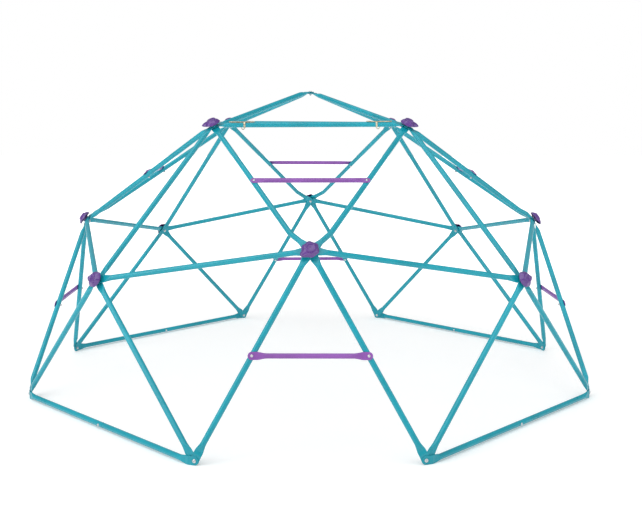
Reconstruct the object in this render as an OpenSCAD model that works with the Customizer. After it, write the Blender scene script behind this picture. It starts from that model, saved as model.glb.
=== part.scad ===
// Dome climber: a hemispherical climbing frame of crushed-end steel tubes, bolted
// together at 21 joints, with a ladder on each of its four sides.
// Origin at the centre of the footprint on the ground, +Z up, one ladder faces -Y.

/* [Dome] */
// Radius of the sphere that the foot, corner and top joints lie on
dome_radius = 1505; // [1200:5:1900]
// Azimuth of each foot joint from the middle of its ladder side
foot_azimuth = 18.4; // [16:0.1:21]
// Elevation of the four corner joints above the foot joints
corner_elevation = 26.3; // [24:0.1:29]
// Elevation of the four ladder joints above the foot joints
ladder_elevation = 34.5; // [33:0.1:36]
// Elevation of the four top joints above the foot joints
top_elevation = 63.6; // [61:0.1:66]
// Distance that the ladder joints sit inside the sphere
ladder_joint_inset = 26; // [10:1:40]
// Distance that the apex joint stands outside the sphere
apex_rise = 20; // [0:1:50]

/* [Tubes] */
// Outside diameter of the frame tubes
tube_d = 25; // [20:0.5:30]
// Outside diameter of the rungs
rung_d = 22; // [18:0.5:27]
// Wall thickness of every tube
tube_wall = 1.2; // [1:0.1:1.6]
// Distance from the edge of a crushed end's flat round its bolt to its bend
bend_margin = 4.7; // [3:0.1:10]
// The same distance at the feet, where the bars lie closer together, as a share of half
// the flat's width
foot_bend_share = 0.555; // [0.54:0.005:0.8]
// Extra length of a crushed end's flat run, beyond half its width
run_margin = 2.7; // [0:0.1:8]
// Length over which a crushed end opens out to the round tube
taper_length = 40; // [30:1:70]

/* [Ladders] */
// Half the distance between a ladder's rails where they bend in to their joint
rail_bend_half_width = 87; // [80:1:100]
// Distance that the bend sits inside the sphere
rail_bend_inset = 60; // [50:1:70]
// Elevation of the bend above the foot joints
rail_bend_elevation = 38.6; // [38.2:0.1:39.4]
// Radius of the bend at the tube's centre line
rail_bend_radius = 90; // [60:5:140]
// Share of the way down the legs, from ladder joint to foot, of the lower rung
lower_rung_share = 0.51; // [0.4:0.01:0.6]
// Share of the way down the rails, from top joint to bend, of the upper rung
upper_rung_share = 0.55; // [0.4:0.01:0.6]
// Flat length of a rung's crushed end, from its bolt inwards
rung_flat = 24; // [20:1:34]

/* [Ground bars] */
// Length of the swaged spigot inside the other half of a ground bar
spigot_length = 55; // [40:1:80]
// Clearance all round between the spigot and the tube that it slides into
spigot_clearance = 0.15; // [0.1:0.05:0.3]
// Length over which the swaged end narrows to its spigot
swage_length = 8; // [5:1:15]

/* [Fasteners] */
// Diameter of the joint bolts
joint_bolt_d = 8; // [6:0.5:10]
// Diameter of the bolts through the rungs and the ground bars
cross_bolt_d = 6; // [5:0.5:8]
// Clearance of a bolt in its hole, on the diameter
hole_clearance = 0.6; // [0.4:0.1:1]
// Clearance of a nut on its bolt, on the diameter
thread_clearance = 0.2; // [0.1:0.1:0.4]
// Length of thread that shows past a tight nut
thread_tail = 3; // [1:0.5:5]

/* [Joint caps] */
// Radius of a cap to the tips of its lobes
cap_radius = 39; // [34:0.5:44]
// Height of a cap
cap_height = 30; // [20:0.5:36]
// Height of a cap's rim where its dome starts
cap_rim = 5; // [3:0.5:8]
// Wall thickness of a cap
cap_wall = 3; // [2:0.25:4]

/* [Hanging clips] */
// Distance along the front top bar from its joint to a clip's strap
clip_reach = 150; // [140:1:200]
// Length of a clip's saddle strip
clip_length = 126; // [90:1:150]
// Width of the saddle strip and of the strap
clip_width = 9; // [8:1:20]
// Thickness of a clip's sheet metal
clip_sheet = 2.5; // [1.5:0.25:3.5]

/* [Hidden] */
$fn = 64;
SIDES = ["front", "right", "back", "left"];
HANDS = ["a", "b"];

// Clearance left by the powder coat between flats that are bolted together
paint_gap = 0.1;
// Clearance where a flat or a strap is drawn on to a round tube
saddle_gap = 0.3;
// Half the gap left inside a tube where it is crushed shut
pinch = 0.1;
flat_gauge = 2*tube_wall + 0.2;
// Worked stretches of tube swell a little, and lap over the straight ones
swell = 0.1;
lap = 1;
flat_pitch = flat_gauge + paint_gap;
flat_width = crushed_width(tube_d);
rung_flat_width = crushed_width(rung_d);

// A crushed end's tip is rounded a little less than fully, from its shoulders on
tip_ease = 0.4;
tip_shoulder = 2;

// The flats at the feet stand on the ground on their rounded tips
dome_centre = [0, 0, flat_width/2 + tip_ease/4];

// Distance from a joint's bolt to the bend in a crushed end, and its flat run beyond
bend_reach = flat_width/2 + bend_margin;
foot_bend_reach = flat_width/2*(1 + foot_bend_share);
flat_run = flat_width/2 + run_margin;

// Bars that share each kind of joint's bolt
at_foot = 3;
at_corner = 5;
at_ladder = 6;
at_top = 6;
at_apex = 4;

// Fastener proportions
head_share = 2.1;
head_rise_share = 0.6;
nut_share = 1.88;
nut_height_share = 0.8;

// Cap proportions
cap_lobes = 6;
cap_lobe_r = 10;
cap_core_r = cap_radius - 0.75*cap_lobe_r;
cap_boss_r = 20;
cap_boss_rise = 2;
cap_dish_r = 14;
cap_dimple_r = 2.5;

// Share of a clip's strip that lies between its strap and the joint
clip_lead = 0.6;

steel_blue = [0.12, 0.62, 0.69];
plum = [0.49, 0.33, 0.62];
deep_plum = [0.42, 0.26, 0.58];
zinc = [0.78, 0.78, 0.8];
straw = [0.85, 0.8, 0.66];

// ---- Vectors and joints ----

function unit(v) = v/norm(v);
function across(v, n) = v - n*(v*n);
function polar(r, azimuth, elevation) = dome_centre
    + r*[cos(elevation)*sin(azimuth), -cos(elevation)*cos(azimuth), sin(elevation)];
function outward(joint) = unit(joint - dome_centre);

// Width that a tube spreads to when it is crushed flat
function crushed_width(d) = PI*(d - tube_wall)/2 + tube_wall;

// Joints of the front side, where hand is -1 to the left and 1 to the right
function foot(hand) = polar(dome_radius, hand*foot_azimuth, 0);
function next_foot(hand) = polar(dome_radius, hand*(90 - foot_azimuth), 0);
function corner(hand) = polar(dome_radius, hand*45, corner_elevation);
function top(hand) = polar(dome_radius, hand*45, top_elevation);
ladder_joint = polar(dome_radius - ladder_joint_inset, 0, ladder_elevation);
apex = polar(dome_radius + apex_rise, 0, 90);
function rail_bend(hand) =
    let (r = dome_radius - rail_bend_inset, reach = r*cos(rail_bend_elevation))
    dome_centre + [hand*rail_bend_half_width,
        -sqrt(reach*reach - rail_bend_half_width*rail_bend_half_width),
        r*sin(rail_bend_elevation)];

// An end is [joint, its place in the joint's stack from the inside, size of the stack,
// distance from bolt to bend]
function flat_centre(end) =
    end[0] + outward(end[0])*(end[1] - (end[2] - 1)/2)*flat_pitch;
function heading(end, target) = unit(across(target - end[0], outward(end[0])));
function bend_point(end, target) = flat_centre(end) + heading(end, target)*end[3];
function bend_angle(end, target, direction) =
    acos(min(1, heading(end, target)*direction));
function half_stack(count) = (count*flat_pitch - paint_gap)/2;

// The two ends of each bar of the front side
function leg_ends(hand) =
    [[ladder_joint, hand > 0 ? 1 : 4, at_ladder, bend_reach],
        [foot(hand), 1, at_foot, foot_bend_reach]];
function rail_ends(hand) =
    [[top(hand), hand > 0 ? 2 : 1, at_top, bend_reach],
        [ladder_joint, hand > 0 ? 0 : 5, at_ladder, bend_reach]];
function ring_ends(hand) =
    [[ladder_joint, hand > 0 ? 3 : 2, at_ladder, bend_reach],
        [corner(hand), hand > 0 ? 2 : 3, at_corner, bend_reach]];
function corner_leg_ends(hand) =
    [[corner(hand), hand > 0 ? 4 : 1, at_corner, bend_reach],
        [foot(hand), 0, at_foot, foot_bend_reach]];
slope_ends = [[top(1), 4, at_top, bend_reach], [corner(1), 0, at_corner, bend_reach]];
top_bar_ends = [[top(-1), 3, at_top, bend_reach], [top(1), 5, at_top, bend_reach]];
ground_ends = [[foot(1), 2, at_foot, foot_bend_reach],
    [next_foot(1), 2, at_foot, foot_bend_reach]];
function apex_ends(side) = [[apex, side, at_apex, bend_reach], [top(1), 0, at_top, bend_reach]];

// Centre line of a straight bar between its two bends
function line_start(ends) = bend_point(ends[0], ends[1][0]);
function line_end(ends) = bend_point(ends[1], ends[0][0]);

// Centre line of a ladder rail from its top bend to the bend near the ladder joint
function rail_line(hand) = [bend_point(rail_ends(hand)[0], rail_bend(hand)), rail_bend(hand)];
function leg_line(hand) = [line_start(leg_ends(hand)), line_end(leg_ends(hand))];

// Points on the tubes that carry a rung, left then right
function rung_points(upper) = [for (hand = [-1, 1])
    let (line = upper ? rail_line(hand) : leg_line(hand),
        share = upper ? upper_rung_share : lower_rung_share)
    line[0] + share*(line[1] - line[0])];
function rung_direction(upper) = unit(rung_points(upper)[1] - rung_points(upper)[0]);
function ladder_slope(upper) = upper
    ? unit(rail_line(1)[1] - rail_line(1)[0]) + unit(rail_line(-1)[1] - rail_line(-1)[0])
    : unit(leg_line(1)[1] - leg_line(1)[0]) + unit(leg_line(-1)[1] - leg_line(-1)[0]);
function rung_outward(upper) = unit(cross(ladder_slope(upper), rung_direction(upper)));

// Stands its children on a point, with their X and Z axes along x and z
module place(origin, x, z) {
    y = cross(z, x);
    multmatrix([
        [x.x, y.x, z.x, origin.x],
        [x.y, y.y, z.y, origin.y],
        [x.z, y.z, z.z, origin.z],
        [0, 0, 0, 1]]) children();
}

module turn_to(side) rotate([0, 0, 90*side]) children();

// ---- Tubes with crushed ends ----

// A crushed end, drawn on the tube's own axis with the bend at the origin. The flat
// turns up by beta beyond the bend and carries the bolt hole; wide is the flat's width.
module crushed_end(d, beta, reach, run, wide, bolt_d) {
    t = flat_gauge/2;
    round_r = wide/2 + tip_ease;
    difference() {
        union() {
            rotate([90, 0, 0]) linear_extrude(wide, center = true)
                polygon(flat_profile(beta, reach + wide/2 + 1, run + 1, t));
            intersection() {
                translate([run, 0, 0]) rotate([0, 90, 0])
                    cylinder(h = taper_length, r1 = wide/2, r2 = d/2 + swell);
                taper_wedge(run, t, d/2, wide);
            }
        }
        rotate([0, -beta, 0]) translate([-reach, 0, 0]) {
            difference() {
                translate([-wide, -wide, -wide/2])
                    cube([wide - tip_shoulder, 2*wide, wide]);
                translate([tip_ease, 0, -wide]) cylinder(r = round_r, h = 2*wide);
            }
            cylinder(d = bolt_d + hole_clearance, h = 4*t + 2, center = true);
        }
    }
}

// The hollow inside the taper of a crushed end
module crushed_hollow(d, run, wide) {
    intersection() {
        translate([run, 0, 0]) rotate([0, 90, 0])
            cylinder(h = taper_length, r1 = wide/2 - tube_wall, r2 = d/2 - tube_wall + swell);
        taper_wedge(run, pinch, d/2 - tube_wall, wide);
    }
}

// Side view of a bent flat: from its tip, round the mitred bend, to its run's end
function flat_profile(beta, tip, run, t) =
    let (back = -tip*[cos(beta), sin(beta)], up = t*[-sin(beta), cos(beta)],
        mitre = t*[-tan(beta/2), 1])
    [back - up, -mitre, [run, -t], [run, t], mitre, back + up];

// Wedge that opens from half thickness t to just clear of radius r
module taper_wedge(run, t, r, wide) {
    over = 3*swell;
    rotate([90, 0, 0]) linear_extrude(wide + 2, center = true)
        polygon([[run, -t], [run + taper_length, -r - over],
            [run + taper_length, r + over], [run, t]]);
}

// A straight round stretch that laps into the worked stretch at each end
module round_bar(from, to, d) {
    translate([from - lap, 0, 0]) rotate([0, 90, 0]) cylinder(d = d, h = to - from + 2*lap);
}

// A straight bar between two bolts of the frame; its children are cut from it, drawn
// on its own axis from the first bend
module straight_bar(ends) {
    start = line_start(ends);
    span = line_end(ends) - start;
    direction = unit(span);
    rise = unit(across(outward(ends[0][0]), direction));
    betas = [bend_angle(ends[0], ends[1][0], direction),
        bend_angle(ends[1], ends[0][0], -direction)];
    opened = flat_run + taper_length;
    color(steel_blue) place(start, direction, rise) difference() {
        union() {
            frame_end(betas[0], ends[0][3]);
            round_bar(opened, norm(span) - opened, tube_d);
            translate([norm(span), 0, 0]) mirror([1, 0, 0]) frame_end(betas[1], ends[1][3]);
        }
        frame_hollow();
        round_bar(opened, norm(span) - opened, tube_d - 2*tube_wall);
        translate([norm(span), 0, 0]) mirror([1, 0, 0]) frame_hollow();
        children();
    }
}

module frame_end(beta, reach)
    crushed_end(tube_d, beta, reach, flat_run, flat_width, joint_bolt_d);
module frame_hollow() crushed_hollow(tube_d, flat_run, flat_width);

module cross_hole(distance, axis) {
    translate([distance, 0, 0]) place([0, 0, 0], unit(across([1, 0, 0], axis)), axis)
        cylinder(d = cross_bolt_d + hole_clearance, h = 2*tube_d, center = true);
}

// The same vector seen in a bar's own axes
function seen_from(x, z, v) = [v*x, v*cross(z, x), v*z];

module ladder_leg(hand) {
    line = leg_line(hand);
    direction = unit(line[1] - line[0]);
    rise = unit(across(outward(ladder_joint), direction));
    straight_bar(leg_ends(hand))
        cross_hole(lower_rung_share*norm(line[1] - line[0]),
            seen_from(direction, rise, rung_outward(false)));
}

// A ladder rail runs straight from the top joint, then bends in to the ladder joint
module ladder_rail(hand) {
    ends = rail_ends(hand);
    line = rail_line(hand);
    last = bend_point(ends[1], rail_bend(hand));
    along = unit(line[1] - line[0]);
    onward = unit(last - line[1]);
    rise = unit(across(outward(ends[0][0]), along));
    turn = acos(along*onward);
    inset = rail_bend_radius*tan(turn/2);
    long_run = norm(line[1] - line[0]) - inset;
    short_run = norm(last - line[1]) - inset;
    inward = unit(across(onward, along));
    roll = atan2(inward*rise, inward*cross(rise, along));
    bend_axis = cross(along, inward);
    last_rise = unit(across(outward(ends[1][0]), onward));
    end_roll = atan2(-last_rise*cross(bend_axis, onward), last_rise*bend_axis);
    betas = [bend_angle(ends[0], rail_bend(hand), along),
        bend_angle(ends[1], rail_bend(hand), -onward)];
    opened = flat_run + taper_length;
    color(steel_blue) place(line[0], along, rise) difference() {
        union() {
            frame_end(betas[0], bend_reach);
            round_bar(opened, long_run, tube_d);
            past_bend(long_run, roll, turn, tube_d) {
                round_bar(0, short_run - opened, tube_d);
                translate([short_run, 0, 0]) rotate([end_roll, 0, 0])
                    mirror([1, 0, 0]) frame_end(betas[1], bend_reach);
            }
        }
        frame_hollow();
        round_bar(opened, long_run, tube_d - 2*tube_wall);
        past_bend(long_run, roll, turn, tube_d - 2*tube_wall) {
            round_bar(0, short_run - opened, tube_d - 2*tube_wall);
            translate([short_run, 0, 0]) rotate([end_roll, 0, 0])
                mirror([1, 0, 0]) frame_hollow();
        }
        cross_hole(upper_rung_share*norm(line[1] - line[0]),
            seen_from(along, rise, rung_outward(true)));
    }
}

// A bend of the rail's radius at the end of a run, and its children on the axis past
// it. The bent stretch swells a little and laps over the straight ones.
module past_bend(run, roll, turn, d) {
    lap_angle = atan(2*lap/rail_bend_radius);
    translate([run, 0, 0]) rotate([roll, 0, 0]) translate([0, rail_bend_radius, 0]) {
        rotate([0, 0, -90 - lap_angle]) rotate_extrude(angle = turn + 2*lap_angle)
            translate([rail_bend_radius, 0]) circle(d = d + 2*swell);
        rotate([0, 0, turn]) translate([0, -rail_bend_radius, 0]) children();
    }
}

module apex_bar(side) straight_bar(apex_ends(side));
module top_bar() straight_bar(top_bar_ends);
module slope_bar() straight_bar(slope_ends);
module ring_bar(hand) straight_bar(ring_ends(hand));
module corner_leg(hand) straight_bar(corner_leg_ends(hand));

// A rung lies on the outside of its two tubes, with its ends crushed flat
module rung(upper) {
    points = rung_points(upper);
    seat = tube_d/2 + saddle_gap + flat_gauge/2;
    length = norm(points[1] - points[0]);
    opened = rung_flat + taper_length;
    color(plum)
    place(points[0] + seat*rung_outward(upper), rung_direction(upper), rung_outward(upper))
    difference() {
        union() {
            rung_end();
            round_bar(opened, length - opened, rung_d);
            translate([length, 0, 0]) mirror([1, 0, 0]) rung_end();
        }
        rung_hollow();
        round_bar(opened, length - opened, rung_d - 2*tube_wall);
        translate([length, 0, 0]) mirror([1, 0, 0]) rung_hollow();
    }
}

module rung_end() crushed_end(rung_d, 0, 0, rung_flat, rung_flat_width, cross_bolt_d);
module rung_hollow() crushed_hollow(rung_d, rung_flat, rung_flat_width);

// ---- Ground bars, each in two halves ----

ground_span = line_end(ground_ends) - line_start(ground_ends);
ground_length = norm(ground_span);
ground_axis = unit(ground_span);
ground_rise = unit(across(outward(foot(1)), ground_axis));
ground_beta = bend_angle(ground_ends[0], next_foot(1), ground_axis);
socket_mouth = (ground_length + spigot_length)/2;

module on_ground_bar() place(line_start(ground_ends), ground_axis, ground_rise) children();

module ground_socket_half() {
    opened = flat_run + taper_length;
    color(steel_blue) on_ground_bar() difference() {
        union() {
            frame_end(ground_beta, foot_bend_reach);
            round_bar(opened, socket_mouth - lap, tube_d);
        }
        frame_hollow();
        round_bar(opened, socket_mouth, tube_d - 2*tube_wall);
        cross_hole(ground_length/2, [0, 0, 1]);
    }
}

module ground_spigot_half() {
    spigot_d = tube_d - 2*tube_wall - 2*spigot_clearance;
    opened = flat_run + taper_length;
    near = ground_length - socket_mouth - paint_gap - swage_length;
    tip = near + paint_gap + swage_length + spigot_length;
    color(steel_blue) on_ground_bar() translate([ground_length, 0, 0]) mirror([1, 0, 0])
        difference() {
            union() {
                frame_end(ground_beta, foot_bend_reach);
                round_bar(opened, near - lap, tube_d);
                swage(near, tube_d, spigot_d);
                round_bar(near + lap, tip - lap, spigot_d);
            }
            frame_hollow();
            round_bar(opened, near - lap, tube_d - 2*tube_wall);
            swage(near, tube_d - 2*tube_wall, spigot_d - 2*tube_wall);
            round_bar(near + lap, tip, spigot_d - 2*tube_wall);
            cross_hole(ground_length/2, [0, 0, 1]);
        }
}

// A cone from the tube down to the spigot, which swells a little and laps over the tube
module swage(from, from_d, to_d) {
    wide_r = from_d/2 + swell;
    translate([from, 0, 0]) rotate([0, 90, 0]) rotate_extrude()
        polygon([[0, -lap], [wide_r, -lap], [wide_r, 0],
            [to_d/2, swage_length], [0, swage_length]]);
}

// ---- Fasteners ----

// A bolt along Z whose round head sits on z = top and whose tail ends at z = -below
module bolt(d, top, below) {
    head_r = head_share*d/2;
    head_h = head_rise_share*d;
    ball_r = (head_r*head_r + head_h*head_h)/(2*head_h);
    translate([0, 0, top]) intersection() {
        translate([0, 0, head_h - ball_r]) sphere(ball_r);
        cylinder(r = head_r + 1, h = head_h + 1);
    }
    translate([0, 0, -below]) cylinder(d = d, h = below + top + head_h/2);
}

// A hexagon nut whose washer face lies on z = -top
module nut(d, top) {
    height = nut_height_share*d;
    translate([0, 0, -top - height]) difference() {
        union() {
            cylinder(d = nut_share*d, h = height, $fn = 6);
            translate([0, 0, height - 1]) cylinder(d = nut_share*d + 1, h = 1);
        }
        translate([0, 0, -1]) cylinder(d = d + thread_clearance, h = height + 2);
    }
}

// Puts its children on every joint's bolt line, from the outside in; $stack is the
// number of flats on that bolt
module at_joints(capped_only) {
    for (side = [0:3]) turn_to(side) {
        at_joint(ladder_joint, at_ladder) children();
        at_joint(corner(1), at_corner) children();
        at_joint(top(1), at_top) children();
        if (!capped_only) for (hand = [-1, 1]) at_joint(foot(hand), at_foot) children();
    }
    if (!capped_only) at_joint(apex, at_apex) children();
}

module at_joint(joint, count) {
    out = outward(joint);
    level = norm([out.x, out.y]) < 0.01 ? [1, 0, 0] : unit([-out.y, out.x, 0]);
    $stack = count;
    place(joint, level, out) children();
}

module joint_bolts() {
    color(zinc) at_joints(false)
        bolt(joint_bolt_d, half_stack($stack) + paint_gap,
            half_stack($stack) + nut_height_share*joint_bolt_d + thread_tail);
}

module joint_nuts() {
    color(zinc) at_joints(false) nut(joint_bolt_d, half_stack($stack) + paint_gap);
}

// Puts its children on every cross bolt's line; $seat is how far out its head sits
module at_cross_bolts() {
    for (side = [0:3]) turn_to(side) {
        for (upper = [false, true], point = rung_points(upper)) {
            $seat = tube_d/2 + saddle_gap + flat_gauge + paint_gap;
            place(point, rung_direction(upper), rung_outward(upper)) children();
        }
        $seat = tube_d/2 + paint_gap;
        on_ground_bar() translate([ground_length/2, 0, 0]) children();
    }
}

module cross_bolts() {
    color(zinc) at_cross_bolts()
        bolt(cross_bolt_d, $seat, tube_d/2 + nut_height_share*cross_bolt_d + thread_tail);
}

module cross_nuts() {
    color(zinc) at_cross_bolts() nut(cross_bolt_d, tube_d/2 + paint_gap);
}

// ---- Caps over the joints ----

// Lobed outline of a cap, drawn in by inset
module cap_outline(inset) {
    circle(r = cap_core_r - inset);
    for (i = [0:cap_lobes - 1]) rotate(360/cap_lobes*(i + 0.5))
        translate([cap_radius - cap_lobe_r, 0]) circle(r = cap_lobe_r - inset);
}

// A moulded shell with a lobed rim, a dished boss on top and a hub over the bolt head
module cap() {
    rise = cap_height - cap_boss_rise - cap_rim;
    dome_r = (cap_radius*cap_radius + rise*rise)/(2*rise);
    dome_z = cap_rim + rise - dome_r;
    head_r = head_share*joint_bolt_d/2 + hole_clearance/2;
    head_h = head_rise_share*joint_bolt_d + 1;
    difference() {
        intersection() {
            linear_extrude(cap_height) cap_outline(0);
            union() {
                translate([0, 0, dome_z]) sphere(dome_r, $fn = 96);
                cylinder(r = cap_boss_r, h = cap_height);
            }
        }
        difference() {
            intersection() {
                translate([0, 0, -1]) linear_extrude(cap_height) cap_outline(cap_wall);
                translate([0, 0, dome_z]) sphere(dome_r - cap_wall, $fn = 96);
            }
            cylinder(r = head_r + cap_wall, h = cap_height);
        }
        translate([0, 0, -1]) cylinder(r = head_r, h = head_h + 1);
        translate([0, 0, cap_height - cap_boss_rise]) cylinder(r = cap_dish_r, h = cap_height);
        translate([0, 0, cap_height - 2*cap_boss_rise])
            cylinder(r = cap_dimple_r, h = cap_height);
    }
}

module joint_caps() {
    color(deep_plum) at_joints(true)
        translate([0, 0, half_stack($stack) + 2*paint_gap]) cap();
}

// ---- Hanging clips on the front top bar ----

// A sheet strip along the top of the bar, welded on a strap that hooks round the bar
module hanging_clip() {
    inner_r = tube_d/2 + saddle_gap;
    translate([clip_reach - clip_length*clip_lead, -clip_width/2, inner_r + clip_sheet/2])
        cube([clip_length, clip_width, clip_sheet]);
    difference() {
        translate([clip_reach - clip_width/2, 0, 0]) rotate([0, 90, 0])
            cylinder(r = inner_r + clip_sheet, h = clip_width);
        translate([clip_reach - clip_width, 0, 0]) rotate([0, 90, 0])
            cylinder(r = inner_r, h = 2*clip_width);
        translate([clip_reach - clip_width, 0, -2*inner_r])
            cube([2*clip_width, 2*inner_r, 1.6*inner_r]);
    }
}

module hanging_clips() {
    ends = [line_start(top_bar_ends), line_end(top_bar_ends)];
    direction = unit(ends[1] - ends[0]);
    rise = unit(across(outward(top(1)), direction));
    reach = norm(top(1) - top(-1)) - norm(ends[1] - ends[0]);
    color(straw) {
        place(ends[0] - direction*reach/2, direction, rise) hanging_clip();
        place(ends[1] + direction*reach/2, direction, rise) mirror([1, 0, 0]) hanging_clip();
    }
}

// ---- Nodes ----

for (side = [0:3]) turn_to(side) {
    s = SIDES[side];
    apex_bar(side);
    top_bar();
    slope_bar();
    rung(true);
    rung(false);
    ground_socket_half();  // ground_socket_halves
    ground_spigot_half();  // ground_spigot_halves
    for (h = [0, 1]) {
        hand = 2*h - 1;
        ladder_rail(hand);
        ring_bar(hand);
        ladder_leg(hand);
        corner_leg(hand);
    }
}
joint_caps();
joint_bolts();
joint_nuts();
cross_bolts();
cross_nuts();
hanging_clips();
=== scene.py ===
# Dome climber: the looks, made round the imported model.
from math import cos, exp, hypot, pi, radians, sin, sqrt, tan

import bmesh
import bpy
from mathutils import Matrix, Quaternion, Vector


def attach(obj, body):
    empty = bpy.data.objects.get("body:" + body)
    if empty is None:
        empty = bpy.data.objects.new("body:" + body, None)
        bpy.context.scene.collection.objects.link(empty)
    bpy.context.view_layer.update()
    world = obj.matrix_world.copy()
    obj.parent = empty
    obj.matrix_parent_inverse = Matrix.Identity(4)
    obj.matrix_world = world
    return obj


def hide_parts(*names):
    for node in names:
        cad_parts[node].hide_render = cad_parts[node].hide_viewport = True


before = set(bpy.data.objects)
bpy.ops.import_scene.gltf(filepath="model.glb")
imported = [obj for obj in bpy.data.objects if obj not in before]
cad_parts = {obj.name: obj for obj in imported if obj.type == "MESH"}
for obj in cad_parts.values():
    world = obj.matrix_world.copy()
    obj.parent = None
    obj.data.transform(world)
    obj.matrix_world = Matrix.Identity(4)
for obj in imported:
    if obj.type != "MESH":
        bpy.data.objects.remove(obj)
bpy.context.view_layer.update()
scene = bpy.context.scene

# ---- The studio ----
# A seamless white floor that runs up into a white backdrop all round, lit by a big soft
# box overhead, two broad side lights and an even white surround.

floor_reach = 30
floor_mesh = bpy.data.meshes.new("studio_floor")
floor_mesh.from_pydata(
    [(-floor_reach, -floor_reach, 0), (floor_reach, -floor_reach, 0),
     (floor_reach, floor_reach, 0), (-floor_reach, floor_reach, 0)], [], [(0, 1, 2, 3)])
studio_floor = bpy.data.objects.new("studio_floor", floor_mesh)
scene.collection.objects.link(studio_floor)

floor_paint = bpy.data.materials.new("studio_floor_paint")
floor_paint.use_nodes = True
floor_shader = floor_paint.node_tree.nodes["Principled BSDF"]
floor_shader.inputs["Base Color"].default_value = (0.93, 0.93, 0.93, 1)
floor_shader.inputs["Roughness"].default_value = 0.55
floor_shader.inputs["Emission Color"].default_value = (1, 0.985, 0.965, 1)
floor_nodes, floor_links = floor_paint.node_tree.nodes, floor_paint.node_tree.links
floor_where = floor_nodes.new("ShaderNodeTexCoord")
floor_distance = floor_nodes.new("ShaderNodeVectorMath")
floor_distance.operation = "LENGTH"
floor_links.new(floor_where.outputs["Object"], floor_distance.inputs[0])
floor_glow = floor_nodes.new("ShaderNodeMapRange")
floor_glow.interpolation_type = "SMOOTHSTEP"
floor_glow.inputs["From Min"].default_value = 1.2
floor_glow.inputs["From Max"].default_value = 5
floor_glow.inputs["To Min"].default_value = 0.17
floor_glow.inputs["To Max"].default_value = 0.7
floor_links.new(floor_distance.outputs["Value"], floor_glow.inputs["Value"])
floor_links.new(floor_glow.outputs["Result"], floor_shader.inputs["Emission Strength"])
floor_mesh.materials.append(floor_paint)

world = bpy.data.worlds.new("studio_surround")
world.use_nodes = True
world_nodes, world_links = world.node_tree.nodes, world.node_tree.links
seen = world_nodes["Background"]
seen.inputs["Color"].default_value = (1, 1, 1, 1)
seen.inputs["Strength"].default_value = 1
fill = world_nodes.new("ShaderNodeBackground")
fill.inputs["Color"].default_value = (1, 1, 1, 1)
fill.inputs["Strength"].default_value = 0.42
ray = world_nodes.new("ShaderNodeLightPath")
either = world_nodes.new("ShaderNodeMixShader")
world_links.new(ray.outputs["Is Camera Ray"], either.inputs["Fac"])
world_links.new(fill.outputs["Background"], either.inputs[1])
world_links.new(seen.outputs["Background"], either.inputs[2])
world_links.new(either.outputs["Shader"], world_nodes["World Output"].inputs["Surface"])
scene.world = world


def soft_box(name, place, aim, width, height, watts):
    """A rectangular studio light at place that faces aim."""
    lamp = bpy.data.lights.new(name, "AREA")
    lamp.shape = "RECTANGLE"
    lamp.size = width
    lamp.size_y = height
    lamp.energy = watts
    light = bpy.data.objects.new(name, lamp)
    light.location = place
    light.rotation_euler = (Vector(aim) - Vector(place)).to_track_quat("-Z", "Y").to_euler()
    scene.collection.objects.link(light)


dome_middle = (0, 0, 0.7)
soft_box("left_soft_box", place=(-5.5, -4, 3.2), aim=dome_middle, width=3, height=3,
         watts=100)
soft_box("right_soft_box", place=(5.5, -3, 3.2), aim=dome_middle, width=3, height=3,
         watts=50)
ceiling = bpy.data.lights.new("ceiling_diffuser", "SUN")
ceiling.energy = 1.65
ceiling.angle = radians(70)
ceiling_light = bpy.data.objects.new("ceiling_diffuser", ceiling)
ceiling_light.rotation_euler = (radians(18), radians(-12), 0)
scene.collection.objects.link(ceiling_light)

scene.view_settings.view_transform = "Standard"

# ---- The camera ----
# It stands in front of one ladder, a little below the top of the dome, and looks down
# slightly at the ladder joint.

camera_data = bpy.data.cameras.new("studio_camera")
camera_data.sensor_width = 36
camera_data.lens = 52.38
camera = bpy.data.objects.new("studio_camera", camera_data)
camera_place = Vector((0, -5.1, 1.411))
camera_down = radians(8.35)
camera_turn = 0.01147
camera_roll = 0.00153
camera_forward = Vector((sin(camera_turn)*cos(camera_down),
                         cos(camera_turn)*cos(camera_down), -sin(camera_down)))
camera_right = Vector((cos(camera_turn), -sin(camera_turn), 0))
camera_up = camera_right.cross(camera_forward)
rolled_right = camera_right*cos(camera_roll) + camera_up*sin(camera_roll)
rolled_up = camera_up*cos(camera_roll) - camera_right*sin(camera_roll)
camera.matrix_world = Matrix((
    (rolled_right.x, rolled_up.x, -camera_forward.x, camera_place.x),
    (rolled_right.y, rolled_up.y, -camera_forward.y, camera_place.y),
    (rolled_right.z, rolled_up.z, -camera_forward.z, camera_place.z),
    (0, 0, 0, 1)))
scene.collection.objects.link(camera)
scene.camera = camera

# ---- Where the bars meet ----
# The frame is bolted together at 21 joints that lie on a sphere. Each side of the dome is
# the front one turned; hand is -1 for its left half and 1 for its right half.

tube_d = 0.025
tube_wall = 0.0012
paint_gap = 0.0001
flat_gauge = 2*tube_wall + 0.0002
flat_pitch = flat_gauge + paint_gap
dome_radius = 1.505
SIDES = ["front", "right", "back", "left"]
HANDS = {"a": -1, "b": 1}


def crushed_width(diameter):
    """Width that a tube spreads to when it is crushed flat."""
    return pi*(diameter - tube_wall)/2 + tube_wall


ground_gap = 0.0001
dome_centre = Vector((0, 0, crushed_width(tube_d)/2 + ground_gap))


def polar(radius, azimuth, elevation):
    """Point at that distance from the dome's centre; azimuth 0 is the front."""
    a, e = radians(azimuth), radians(elevation)
    return dome_centre + radius*Vector((cos(e)*sin(a), -cos(e)*cos(a), sin(e)))


def outward(joint):
    """Direction of a joint's bolt, away from the dome's centre."""
    return (joint - dome_centre).normalized()


def across(v, n):
    """What is left of v at right angles to the unit vector n."""
    return v - n*v.dot(n)


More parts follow.
